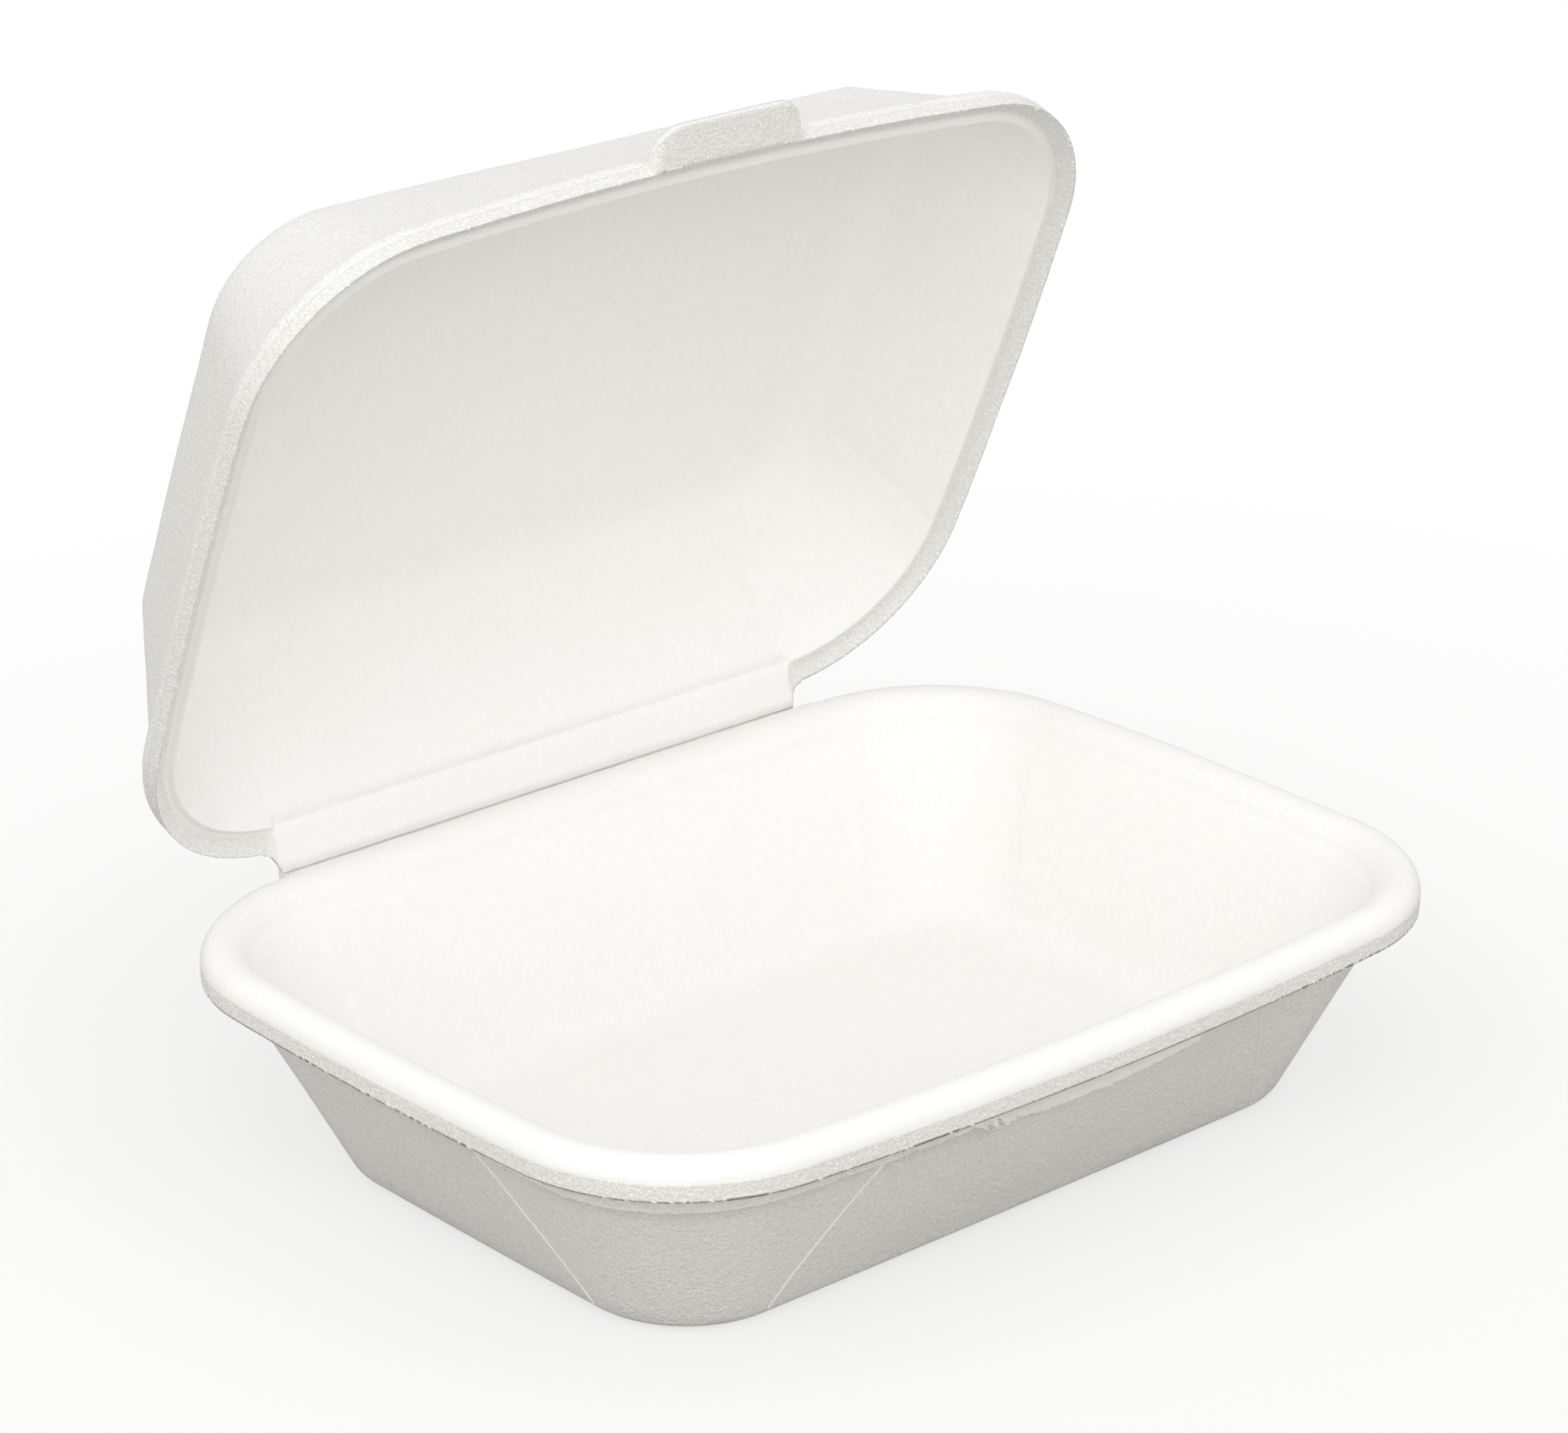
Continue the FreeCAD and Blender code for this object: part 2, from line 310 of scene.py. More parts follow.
# %% Closing the net into one mesh
def net_mesh(name, net, marks, hole=None):
    """Joins rows and columns with faces. hole is (upper, lower, far upper, far lower, columns)."""
    rows, columns = net.shape[:2]
    points = net.reshape(-1, 3)
    centres = np.stack([net[0].mean(axis=0), net[-1].mean(axis=0)])
    faces = []
    open_cells = set()
    if hole:
        near_high, near_low, far_low, far_high, gap = hole
        open_cells = {(near_high, column) for column in gap} | {(far_low, column) for column in gap}
    for row in range(rows - 1):
        for column in range(columns):
            if (row, column) in open_cells:
                continue
            after = (column + 1) % columns
            faces.append((row * columns + column, row * columns + after,
                          (row + 1) * columns + after, (row + 1) * columns + column))
    if hole:
        for column in gap:
            after = column + 1
            for near, far in ((near_high, far_high), (near_low, far_low)):
                faces.append((near * columns + column, near * columns + after,
                              far * columns + after, far * columns + column))
        for column in (gap[0], gap[-1] + 1):
            sides = near_high, near_low, far_low, far_high
            faces.append(tuple(row * columns + column for row in sides))
    first_centre = rows * columns
    for column in range(columns):
        after = (column + 1) % columns
        faces.append((first_centre, after, column))
        faces.append((first_centre + 1, (rows - 1) * columns + column, (rows - 1) * columns + after))
    mesh = bpy.data.meshes.new(name)
    mesh.from_pydata(np.concatenate([points, centres]).tolist(), [], faces)
    for mark, values in marks.items():
        attribute = mesh.attributes.new(mark, "FLOAT", "POINT")
        ends = [values[0].mean(), values[-1].mean()]
        attribute.data.foreach_set("value", np.concatenate([values.ravel(), ends]).astype(np.float32))
    shell = bmesh.new()
    shell.from_mesh(mesh)
    bmesh.ops.recalc_face_normals(shell, faces=shell.faces)
    shell.to_mesh(mesh)
    shell.free()
    mesh.shade_smooth()
    piece = bpy.data.objects.new(name, mesh)
    bpy.context.collection.objects.link(piece)
    print(name, "faces", len(mesh.polygons), "points", len(mesh.vertices))
    return piece


# %% [markdown]
# ## The tray
# From the middle of the floor the section climbs the wall, steps over a small ledge and rolls over the
# rim to the trimmed face. Under the roll it is hollow, and then the outer wall leans in to a rounded
# foot. Along the hinge the roll flattens into a strip that runs out to the fold.


# %% The hinge strip's share of each column
def strip_share(loft, edge_y):
    """1 along the hinge, 0 away from it, and the rounded notch between."""
    beyond = np.clip(np.abs(loft.x) - strip_half, 0, notch_radius)
    reach = np.sqrt(np.maximum(notch_radius ** 2 - (notch_radius - beyond) ** 2, 0))
    strip_y = fold.y - fold_gap
    notch_y = np.minimum(fold.y - reach, strip_y)
    share = (notch_y - edge_y) / (strip_y - edge_y)
    at_back = (loft.y > 0) & (np.abs(loft.x) < strip_half + notch_radius)
    return np.where(at_back, np.clip(share, 0, 1), 0.0)


def pressed(loft, rows, section, share):
    """Moves rows towards the hinge's own section of (y, z) points, by each column's share."""
    moved = []
    for row, (y, z) in zip(rows, section):
        target = np.stack([loft.x, np.full_like(loft.x, y), np.full_like(loft.x, z)], axis=1)
        moved.append(row + share[:, None] * (target - row))
    return moved


def section_points(keys, count):
    """Evenly spaced (y, z) points along a short polyline."""
    keys = np.array(keys)
    travel = np.concatenate([[0], np.cumsum(np.linalg.norm(np.diff(keys, axis=0), axis=1))])
    marks = np.linspace(0, travel[-1], count)
    return np.stack([np.interp(marks, travel, keys[:, 0]), np.interp(marks, travel, keys[:, 1])], axis=1)


# %% Columns of the tray
fine, plain, seam = 0.3 * mm, 0.85 * mm, 0.5 * mm
notch_reach, slit_reach, tab_margin = 1.2 * notch_radius, 1.1 * slit_half, 1 * mm
corner_starts = (1, 2, 3, 4, 6, 7, 8, 9)
tray_rim = outline(rim_width, 2 * half_depth, rim_corner_radius, front_bow, back_bow, end_bow)


def near_notch(x, y):
    return (y > 0) & (np.abs(np.abs(x) - strip_half - notch_radius / 2) < notch_reach)


def tray_spacing(x, y):
    near_slit = (np.abs(x) < slit_reach) & (y < -half_depth / 2)
    return np.where(near_notch(x, y), fine, np.where(near_slit, seam, plain))


tray_base = outline(base_width, base_depth, base_corner_radius, panel_bow, panel_bow, panel_bow)
tray_loft = Loft(tray_rim, tray_spacing)
print("tray columns", len(tray_loft.x), "rim length mm", round(tray_loft.length / mm, 1))


# %% Torn lip under the slit, and its hanging tongue at the left end
lip_section = ((0, 0.0), (0.1, 1.5), (0.45, 1.7), (1.0, 0.9), (1.9, 0.0))   # drop and stand-out, mm
slit_bulge, slit_ends = 1.2, 0.15           # the ends are a share of half the slit's length
lip_drop, lip_fade = 0.9 * mm, 14 * mm      # past the slit the lip lies lower and fades out
ridge_level, ridge_start = 0.8, 0.4         # the start is a share of half the tray's depth
tongue_place, tongue_width = -21 * mm, 4 * mm
tongue_hang = 1.3                           # how much lower the lip hangs at the tongue, as a share
slit_open = 0.06                            # the wall is cut through where the slit is higher than this share


def tongue(loft):
    return tongue_hang * np.exp(-((loft.x - tongue_place) / tongue_width) ** 2) * (loft.y < 0)


def lip_share(loft):
    """1 along the slit, and a lower ridge that runs on from its left end and round the left side."""
    inside = np.clip(1 + slit_ends - np.abs(loft.x) / slit_half, 0, slit_ends)
    slit = inside / slit_ends * (loft.y < -half_depth / 2)
    ridge = ridge_level * np.clip((ridge_start * half_depth - loft.y) / lip_fade, 0, 1) * (loft.x < 0)
    return slit, np.maximum(slit_bulge * slit, ridge)


# %% Rows of the tray
floor_scales = (0.04, 0.2, 0.36, 0.52, 0.68, 0.82, 0.93)


def scaled_rows(ring, scales, centre_y=0.0):
    centre = np.array([0.0, centre_y, 0.0])
    return [centre + (ring - centre) * np.array([scale, scale, 1.0]) for scale in scales]


def wall_lean(run, rise):
    return math.degrees(math.atan2(abs(rise), abs(run)))


def make_tray():
    loft = tray_loft
    lean = wall_lean(base_width / 2 - rim_width / 2 + pocket_inset, cut_bottom)
    inner_inset = inner_corner_inset(foot_radius, floor_radius, lean)
    rows, bands, add = new_section()
    floor_edge = loft.row(tray_base, inner_inset, sheet)
    add("floor", scaled_rows(floor_edge, floor_scales))
    corner = loft.rows(tray_base, rounded_corner(sheet, floor_radius, lean, inner_inset, 1))
    add("floor corner", corner)

    roll_foot = (roll_inset + roll_inner_width, crest - roll_inner_drop)
    ledge = (roll_foot[0] + ledge_width, roll_foot[1] - ledge_drop)
    ledge_row = loft.row(tray_rim, *ledge)
    bow = np.clip(1 - (loft.x / slit_half) ** 2, 0, 1) * (loft.y < 0)
    tear = unevenness(loft.row(tray_rim, 0, 0), tear_size, 3, 3)
    torn = np.where(bow > 0, tear_depth * tear * np.sqrt(bow), 0)
    high = slit_middle + np.maximum(slit_height / 2 * bow, slit_least)
    low = slit_middle - np.maximum(slit_height / 2 * bow, slit_least) + torn
    low_inner = at_height(ledge_row, corner[-1], low)
    shred = tongue(loft)
    slit_share, ridge_share = lip_share(loft)
    sag = lip_drop * np.clip(ridge_share - slit_bulge * slit_share, 0, 1)
    add("inner wall", even([corner[-1], low_inner], 9)[1:])
    add("slit inside", [at_height(ledge_row, corner[-1], high)])
    ledge_edge = loft.row(tray_rim, ledge[0] - ledge_round[0], ledge[1] + ledge_round[1])
    add("ledge", even([rows[-1], ledge_row], 4)[1:] + [ledge_edge])
    add("roll inside", even(loft.rows(tray_rim, crown(roll_foot, (roll_inset, crest))), 10))

    share = strip_share(loft, loft.y - edge_play)
    over_roll = reversed(crown((edge_play, cut_top), (roll_inset, crest)))
    roll = even(loft.rows(tray_rim, over_roll), 16)[1:]
    strip_end = fold.y - fold_gap
    root = half_depth - roll_inset
    strip_top = fold.z - fold_gap
    slope = (crest - strip_top) / (strip_end - root)
    land = [(root + out * mm, crest - down * mm) for out, down in crest_steps]
    for back, off in fold_steps:
        land.append((strip_end - back * mm, strip_top + back * mm * slope + off * mm))
    land += [(strip_end - fold_bead[0], strip_top + fold_bead[1]), (strip_end, strip_top)]
    add("roll", pressed(loft, roll, section_points(land, 16)[1:], share))
    cut = even(loft.rows(tray_rim, [(edge_play, cut_top), (edge_play, cut_bottom)]), 9)[1:]
    under = strip_top - strip_thickness
    strip_edge = section_points([(strip_end, strip_top), (strip_end, under)], 9)
    add("trimmed", pressed(loft, cut, strip_edge[1:], share))
    pocket_top = (pocket_inset / 2, crest - sheet - roll_slack)
    hollow = crown((edge_play, cut_bottom), pocket_top)
    hollow += list(reversed(crown((pocket_inset, cut_bottom), pocket_top)))[1:]
    pocket = even(loft.rows(tray_rim, hollow), 14)[1:]
    wall_end = half_depth - pocket_inset, cut_bottom
    below = section_points([(strip_end, under), (root, crest - sheet), wall_end], 14)
    add("hollow", pressed(loft, pocket, below[1:], share))

    foot = loft.rows(tray_base, rounded_corner(0, foot_radius, lean, 0, 1))
    wall_top = rows[-1]
    add("slit outside", [at_height(wall_top, foot[-1], high)])
    lip_heights = [low - sag - drop * mm * (1 + shred) for drop, _ in lip_section]
    add("lip", [at_height(wall_top, foot[-1], height) for height in lip_heights])
    add("outer wall", even([rows[-1], foot[-1]], 10)[1:])
    add("foot", list(reversed(foot))[1:])
    add("bottom", list(reversed(scaled_rows(foot[0], floor_scales))))

    net = np.array(rows)
    gap = [int(column) for column in np.nonzero(bow > slit_open)[0]][:-1]
    outside, inside = bands["slit outside"][0], bands["slit inside"][0]
    return net, bands, (outside, bands["lip"][0], bands["inner wall"][1] - 1, inside, gap)


tray_net, tray_bands, tray_hole = make_tray()
print("tray rows", len(tray_net), tray_bands)


# %% Foam's unevenness on the tray
def band_mask(bands, names, count):
    mask = np.zeros(count)
    for name in names:
        first, last = bands[name]
        mask[first:last] = 1.0
    return mask[:, None]


crease_rise, crease_width = 0.25 * mm, 1.8 * mm
wave_height, wave_size = 0.16 * mm, 34 * mm         # slow waves of the moulded skin
ripple_height, ripple_size = 0.05 * mm, 6 * mm      # and small ones
blade_height, blade_size = 0.06 * mm, 1.3 * mm      # what the blade leaves on the trimmed face
rag_size, rag_level, rag_tongue = 1.1 * mm, 0.12, 0.5   # raggedness of the lip, more at the tongue


def crease_lines(loft, arcs_at, width):
    """A ridge along each column where a side runs into a corner."""
    starts = [np.nonzero(loft.arc_of == index)[0][0] for index in arcs_at]
    lines = np.zeros_like(loft.x)
    for start in starts:
        away = np.abs(loft.along - loft.along[start])
        away = np.minimum(away, loft.length - away)
        lines = np.maximum(lines, np.exp(-(away / width) ** 2))
    return lines


def wear(net, loft, bands, outside, trimmed, seed):
    """Moves a net's points as real foam is uneven, and returns the marks for its finish."""
    count = len(net)
    normal = directions(net)
    cut = band_mask(bands, trimmed, count)
    inner = band_mask(bands, ["inner wall"], count)
    move = wave_height * unevenness(net, wave_size, seed) * (1 - cut)
    move += ripple_height * unevenness(net, ripple_size, seed + 1) * (1 - cut)
    move += blade_height * unevenness(net, blade_size, seed + 2, 3) * cut
    move += crease_rise * crease_lines(loft, corner_starts, crease_width)[None, :] * inner
    flat_ends = band_mask(bands, ["bottom", "foot"], count) if "foot" in bands else 0
    move = np.where(flat_ends > 0, 0, move)
    moved = net + normal * move[..., None]
    side = np.broadcast_to(band_mask(bands, outside, count), net.shape[:2]).copy()
    edge = np.broadcast_to(cut, net.shape[:2]).copy()
    return moved, {"trimmed": edge, "outside": side}


lip_first = tray_bands["lip"][0]
outward = directions(tray_net)
lip_rows = tray_net[lip_first:lip_first + len(lip_section)]
raggedness = 1 + unevenness(lip_rows, rag_size, 41, 3) * (rag_level + rag_tongue * tongue(tray_loft))
for step, (_, stand_out) in enumerate(lip_section):
    amount = stand_out * mm * lip_share(tray_loft)[1] * raggedness[step]
    lip_rows[step] += outward[lip_first + step] * amount[:, None]
tray_worn, tray_marks = wear(tray_net, tray_loft, tray_bands,
                             ["slit outside", "lip", "outer wall", "foot", "bottom"], ["trimmed"], 11)
# Along the slit and at its tongue the lip loses the outside mark, so it misses the outside speckle and
# renders lighter: a painted highlight on the torn lip.
outside_except_highlit_lip = 1 - np.maximum(lip_share(tray_loft)[0], np.clip(tongue(tray_loft), 0, 1))
tray_marks["outside"][lip_first - 1:lip_first + 2] = outside_except_highlit_lip
tray_piece = net_mesh("foam_tray", tray_worn, tray_marks, tray_hole)

# %% [markdown]
# ## The lid
# The lid is the same idea upside down: a shallower dome whose rim flares out to a trimmed face. At the
# middle of the front the rim runs on into the latch tab, and along the back into the hinge strip. It is
# laid out closed and then turned open about the fold line.

# %% Columns of the lid
lid_rim = outline(rim_width - 2 * lid_margin, 2 * half_depth - lid_front_margin, lid_corner_radius,
                  front_bow, back_bow, end_bow, lid_front_margin / 2)
lid_panel = outline(top_width, top_depth, top_corner_radius, *(panel_bow,) * 3, top_set_back)


def lid_spacing(x, y):
    near_tab = (np.abs(np.abs(x) - tab_half) < tab_corner_radius + tab_margin) & (y < -half_depth / 2)
    return np.where(near_notch(x, y) | near_tab, fine, plain)


lid_loft = Loft(lid_rim, lid_spacing)
print("lid columns", len(lid_loft.x), "rim length mm", round(lid_loft.length / mm, 1))

# %% The tab's outline along the columns
tab_blend = 0.8 * mm         # columns this far past the tab's side are drawn in to it
tab_relax = 2.5 * mm
tip_round = 0.15 * mm


def tab_edge(loft):
    """Each column's sideways place and reach on the tab's outline."""
    away = np.abs(loft.x)
    side = np.sign(loft.x)
    flat_half = tab_half - tab_corner_radius
    straight = tab_reach - tab_corner_radius
    path = tab_corner_radius * math.pi / 2 + straight
    travel = (away - flat_half) / (tab_corner_radius + tab_blend) * path
    turn = math.pi / 2 - travel / tab_corner_radius
    in_corner = (travel >= 0) & (turn > 0)
    on_side = (turn <= 0) & (travel < path)
    past = (travel >= path) & (away < tab_half + tab_relax)
    place = away.copy()
    reach = np.where(travel < 0, tab_reach, 0.0)
    place = np.where(in_corner, flat_half + tab_corner_radius * np.cos(turn), place)
    reach = np.where(in_corner, straight + tab_corner_radius * np.sin(turn), reach)
    place = np.where(on_side, tab_half, place)
    reach = np.where(on_side, path - travel, reach)
    begin = tab_half + tab_blend
    relaxed = tab_half + (away - begin) / (tab_relax - tab_blend) * tab_relax
    place = np.where(past, relaxed, place)
    at_front = loft.y < 0
    near = at_front & (away < tab_half + tab_relax)
    return np.where(at_front, side * place, loft.x), np.where(near, reach, 0.0)


# %% Rows of the lid
def make_lid():
    loft = lid_loft
    lean = wall_lean(top_width / 2 - rim_width / 2 + lid_margin + lid_roll_inset,
                     lid_top - edge_high - lid_roll_rise)
    inner_inset = inner_corner_inset(top_edge_radius, top_inner_radius, lean)
    rows, bands, add = new_section()
    ceiling = loft.row(lid_panel, inner_inset, lid_top - sheet)
    add("ceiling", scaled_rows(ceiling, floor_scales, top_set_back))
    bend = rounded_corner(lid_top - sheet, top_inner_radius, lean, inner_inset, -1)
    corner = loft.rows(lid_panel, bend)
    add("ceiling corner", corner)
    lip = (lid_lip_inset, edge_low + lid_lip_rise)
    lip_row = loft.row(lid_rim, *lip)
    add("inner wall", even([corner[-1], lip_row], 12)[1:])

    share = strip_share(loft, loft.y - edge_play)
    tab_x, reach = tab_edge(loft)

    def tabbed(inset, height, pull=1.0):
        """A row at the tab's outline, or short of it where pull is under 1."""
        moved = loft.row(lid_rim, inset, height)
        moved[:, 0] += tab_x - loft.x
        moved[:, 1] -= reach * pull
        return moved

    skin = loft.rows(lid_rim, reversed(crown((edge_play, edge_low), lip)))
    skin.append(tabbed(edge_play, edge_low, 0.0))
    strip_end = fold.y - fold_gap
    strip_low = fold.z + fold_gap
    lip_y = half_depth - lid_lip_inset
    chord = Vector((strip_end - lip_y, strip_low - lip[1]))
    along, off = chord.normalized(), Vector((-chord.y, chord.x)).normalized()

    def on_strip(travel, rise):
        spot = Vector((lip_y, lip[1])) + along * travel * mm - off * rise * mm
        return spot.x, spot.y

    length = chord.length / mm
    land = [on_strip(travel, rise) for travel, rise in lip_steps]
    land += [on_strip(length - back, rise) for back, rise in lid_fold_steps] + [(strip_end, strip_low)]
    add("skin", pressed(loft, even(skin, 22)[1:], section_points(land, 22)[1:], share))

    on_tab = reach / tab_reach
    slant_top = edge_high + on_tab * (edge_low + tab_height - tab_tip_height - edge_high)
    tip_top = edge_high + tip_round + on_tab * (edge_low + tab_height - edge_high - tip_round)
    face = even([skin[-1], tabbed(edge_play, slant_top)], 12)
    over = strip_low + strip_thickness
    strip_edge = section_points([(strip_end, strip_low), (strip_end, over)], 12)
    add("trimmed", pressed(loft, face[1:], strip_edge[1:], share))
    tip_end = (strip_end - tip_round, over + tip_round)
    add("tip", pressed(loft, [tabbed(edge_play, tip_top)], [tip_end], share))
    crease = (lid_roll_inset, edge_high + lid_roll_rise)
    flare = [rows[-1]]
    for inset, height in crown((edge_play, edge_high), crease)[1:]:
        flare.append(loft.row(lid_rim, inset, np.maximum(height, np.where(on_tab > 0, tip_top, 0))))
    strip_out = half_depth - strip_back[0], edge_low + strip_back[1]
    back = section_points([tip_end, strip_out, (half_depth - lid_roll_inset, crease[1])], 20)
    add("flare", pressed(loft, even(flare, 20)[1:], back[1:], share))
    edge = loft.rows(lid_panel, rounded_corner(lid_top, top_edge_radius, lean, 0, -1))
    add("outer wall", even([rows[-1], edge[-1]], 14)[1:])
    add("top edge", list(reversed(edge))[1:])
    add("top", list(reversed(scaled_rows(edge[0], floor_scales, top_set_back))))
    return np.array(rows), bands


lid_net, lid_bands = make_lid()
print("lid rows", len(lid_net), lid_bands)

# %% The rounded lip between the cavity and the flare
lip_bulge, lip_spread = 1.0 * mm, 2.6
outer_play = 0.1 * mm       # the uneven outer skin stays this far inside the mould's size
off_strip = 1 - strip_share(lid_loft, lid_loft.y)
away = (np.arange(len(lid_net)) - lid_bands["skin"][0] - 1) / lip_spread
lid_net[:, :, 2] -= lip_bulge * np.exp(-away ** 2)[:, None] * off_strip[None, :]
outer_first = lid_bands["top edge"][0]
lid_net[outer_first:] += outer_play * directions(lid_net)[outer_first:]

# %% Foam's unevenness on the lid
lid_outside = ["flare", "outer wall", "top edge", "top"]
lid_worn, lid_marks = wear(lid_net, lid_loft, lid_bands, lid_outside, ["trimmed"], 29)
skin_first, skin_last = lid_bands["skin"]
scuffed = np.clip((np.arange(skin_last - skin_first) - 5) / 3, 0, 1)
lid_marks["trimmed"][skin_first:skin_last] = scuffed[:, None] * off_strip[None, :]
lid_piece = net_mesh("foam_lid", lid_worn, lid_marks)
open_lid = (Matrix.Translation(fold) @ Matrix.Rotation(lid_angle, 4, Vector(hinge["axis"])) @
            Matrix.Translation(-fold))
lid_piece.data.transform(open_lid)

# %% [markdown]
# ## Node trees, a call for each node
# The finish, the light, the beads and the creases are node trees. Tree makes a node from its type, settings
# and inputs, where an input is a value or what another node gives. Sum stands for what a node gives, so
# that a formula can be written as one line of Python.


# %% Node maths as Python expressions
class Sum:
    """What a node gives, which takes part in Python arithmetic."""

    def __init__(self, tree, socket):
        self.tree, self.socket = tree, socket

    def _math(self, operation, *values):
        node = self.tree.node("ShaderNodeMath", {"operation": operation}, dict(enumerate(values)))
        return Sum(self.tree, node.outputs[0])

    def __add__(self, other):
        return self._math("ADD", self, other)

    def __radd__(self, other):
        return self._math("ADD", other, self)

    def __rsub__(self, other):
        return self._math("SUBTRACT", other, self)

    def __mul__(self, other):
        return self._math("MULTIPLY", self, other)

    def __rmul__(self, other):
        return self._math("MULTIPLY", other, self)

    def most(self, other):
        """The larger of the two."""
        return self._math("MAXIMUM", self, other)


class Tree:
    """A node tree. node() makes any node from its type, settings and inputs."""

    def __init__(self, tree):
        self.nodes, self.links = tree.nodes, tree.links
        self.nodes.clear()

    def node(self, kind, settings=None, inputs=None):
        made = self.nodes.new(kind)
        for key, value in (settings or {}).items():
            setattr(made, key, value)
        for key, value in (inputs or {}).items():
            if isinstance(value, Sum):
                value = value.socket
            if isinstance(value, bpy.types.NodeSocket):
                self.links.new(value, made.inputs[key])
            else:
                made.inputs[key].default_value = value
        return made

    def value(self, kind, output=0, settings=None, inputs=None):
        return Sum(self, self.node(kind, settings, inputs).outputs[output])

    def noise(self, place, size, detail):
        inputs = {"Vector": place, "Scale": 1 / size, "Detail": detail}
        return self.value("ShaderNodeTexNoise", 0, None, inputs)

    def ramp(self, value, low, high):
        """0 below low, 1 above high."""
        inputs = {0: value, 1: low, 2: high, 3: 0.0, 4: 1.0}
        return self.value("ShaderNodeMapRange", 0, {"clamp": True}, inputs)

    def blend(self, factor, one, two):
        return self.node("ShaderNodeMix", {"data_type": "RGBA"}, {0: factor, 6: one, 7: two}).outputs[2]


def new_material(name):
    material = bpy.data.materials.new(name)
    material.use_nodes = True
    return material, Tree(material.node_tree)


# %% What every geometry tree here begins and ends with
def geometry_tree(name, inputs):
    """A node group with named inputs, its tree, and what its inputs give."""
    group = bpy.data.node_groups.new(name, "GeometryNodeTree")
    group.interface.new_socket("Geometry", in_out="INPUT", socket_type="NodeSocketGeometry")
    for title, kind in inputs.items():
        group.interface.new_socket(title, in_out="INPUT", socket_type=kind)
    group.interface.new_socket("Geometry", in_out="OUTPUT", socket_type="NodeSocketGeometry")
    tree = Tree(group)
    return group, tree, tree.node("NodeGroupInput").outputs


def end_tree(tree, given, shape):
    smooth = tree.value("GeometryNodeSetShadeSmooth", inputs={0: shape})
    finished = tree.value("GeometryNodeSetMaterial", inputs={
        "Geometry": smooth, "Material": given["Foam"]})
    tree.node("NodeGroupOutput", inputs={0: finished})


# %% [markdown]
# ## Beads on the trimmed faces
# The blade leaves the foam's beads standing a little out of the trimmed face. Geometry Nodes scatter
# small spheres over each face and sink them until only a cap shows.

# %% Node tree that scatters the beads
bead_sink, bead_mark = 0.68, 0.2
bead_least, bead_most = 0.8, 1.1


def bead_tree():
    group, tree, given = geometry_tree("beads on a face", {
        "Bead radius": "NodeSocketFloat", "Beads per square metre": "NodeSocketFloat",
        "Seed": "NodeSocketInt", "Foam": "NodeSocketMaterial"})
    radius, seed = Sum(tree, given["Bead radius"]), given["Seed"]
    scatter = tree.node("GeometryNodeDistributePointsOnFaces", inputs={
        "Mesh": given["Geometry"], "Density": given["Beads per square metre"], "Seed": seed}).outputs
    inward = tree.value("ShaderNodeVectorMath", 0, {"operation": "SCALE"}, {
        0: scatter["Normal"], "Scale": radius * -bead_sink})
    sunk = tree.value("GeometryNodeSetPosition", inputs={"Geometry": scatter["Points"], "Offset": inward})
    ball = tree.value("GeometryNodeMeshIcoSphere", "Mesh", inputs={"Radius": radius, "Subdivisions": 1})
    size = tree.value("FunctionNodeRandomValue", 1, {"data_type": "FLOAT"}, {
        2: bead_least, 3: bead_most, "Seed": seed})
    turn = tree.value("FunctionNodeRandomValue", 0, {"data_type": "FLOAT_VECTOR"}, {
        0: (0, 0, 0), 1: (math.tau,) * 3, "Seed": seed})
    placed = tree.value("GeometryNodeInstanceOnPoints", inputs={
        "Points": sunk, "Instance": ball, "Rotation": turn, "Scale": size})
    real = tree.value("GeometryNodeRealizeInstances", inputs={0: placed})
    marked = tree.value("GeometryNodeStoreNamedAttribute", 0, {"data_type": "FLOAT", "domain": "POINT"}, {
        "Geometry": real, "Name": "trimmed", "Value": bead_mark})
    end_tree(tree, given, marked)
    return group


# %% [markdown]
# ## Creases on the tray's outer wall
# Where a flat side meets a rounded corner, the foam creases as it is drawn, and two fine ridges fan out
# from the foot to the rim. Each follows the wall as a path, and Geometry Nodes give it a round section.

# %% Node tree that draws a fine ridge along a path
ridge_sides = 8


def ridge_tree():
    group, tree, given = geometry_tree("ridge on a path", {
        "Ridge radius": "NodeSocketFloat", "Step": "NodeSocketFloat", "Foam": "NodeSocketMaterial"})
    path = tree.value("GeometryNodeMeshToCurve", inputs={0: given["Geometry"]})
    spaced = tree.value("GeometryNodeResampleCurve", 0, {"mode": "LENGTH"}, {
        "Curve": path, "Length": given["Step"]})
    ring = tree.value("GeometryNodeCurvePrimitiveCircle", inputs={
        "Resolution": ridge_sides, "Radius": given["Ridge radius"]})
    tube = tree.value("GeometryNodeCurveToMesh", inputs={
        "Curve": spaced, "Profile Curve": ring, "Fill Caps": True})
    real = tree.value("GeometryNodeRealizeInstances", inputs={0: tube})
    end_tree(tree, given, real)
    return group


# %% Paths of the creases that fan out from the foot's corners to the rim
crease_spread = 20 * mm
back_leaning = (1, 3, 6, 8)     # at these edges the crease leans back along the rim, at the others on


def crease_paths(name, net, loft, band):
    """A path for each of a corner's two creases, from the rim down the outer wall."""
    first, last = band
    rows = net[first - 1:last]
    points, edges = [], []
    around = np.concatenate([loft.along, [loft.length]])
    for index in corner_starts:
        start = loft.along[np.nonzero(loft.arc_of == index)[0][0]]
        side = -1 if index in back_leaning else 1
        for step, row in enumerate(rows):
            spread = crease_spread * (1 - step / (len(rows) - 1))
            mark = (start + side * spread) % loft.length
            ring = np.concatenate([row, row[:1]])
            points.append([np.interp(mark, around, ring[:, axis]) for axis in range(3)])
            if step:
                edges.append((len(points) - 2, len(points) - 1))
    mesh = bpy.data.meshes.new(name)
    mesh.from_pydata(points, edges, [])
    return mesh


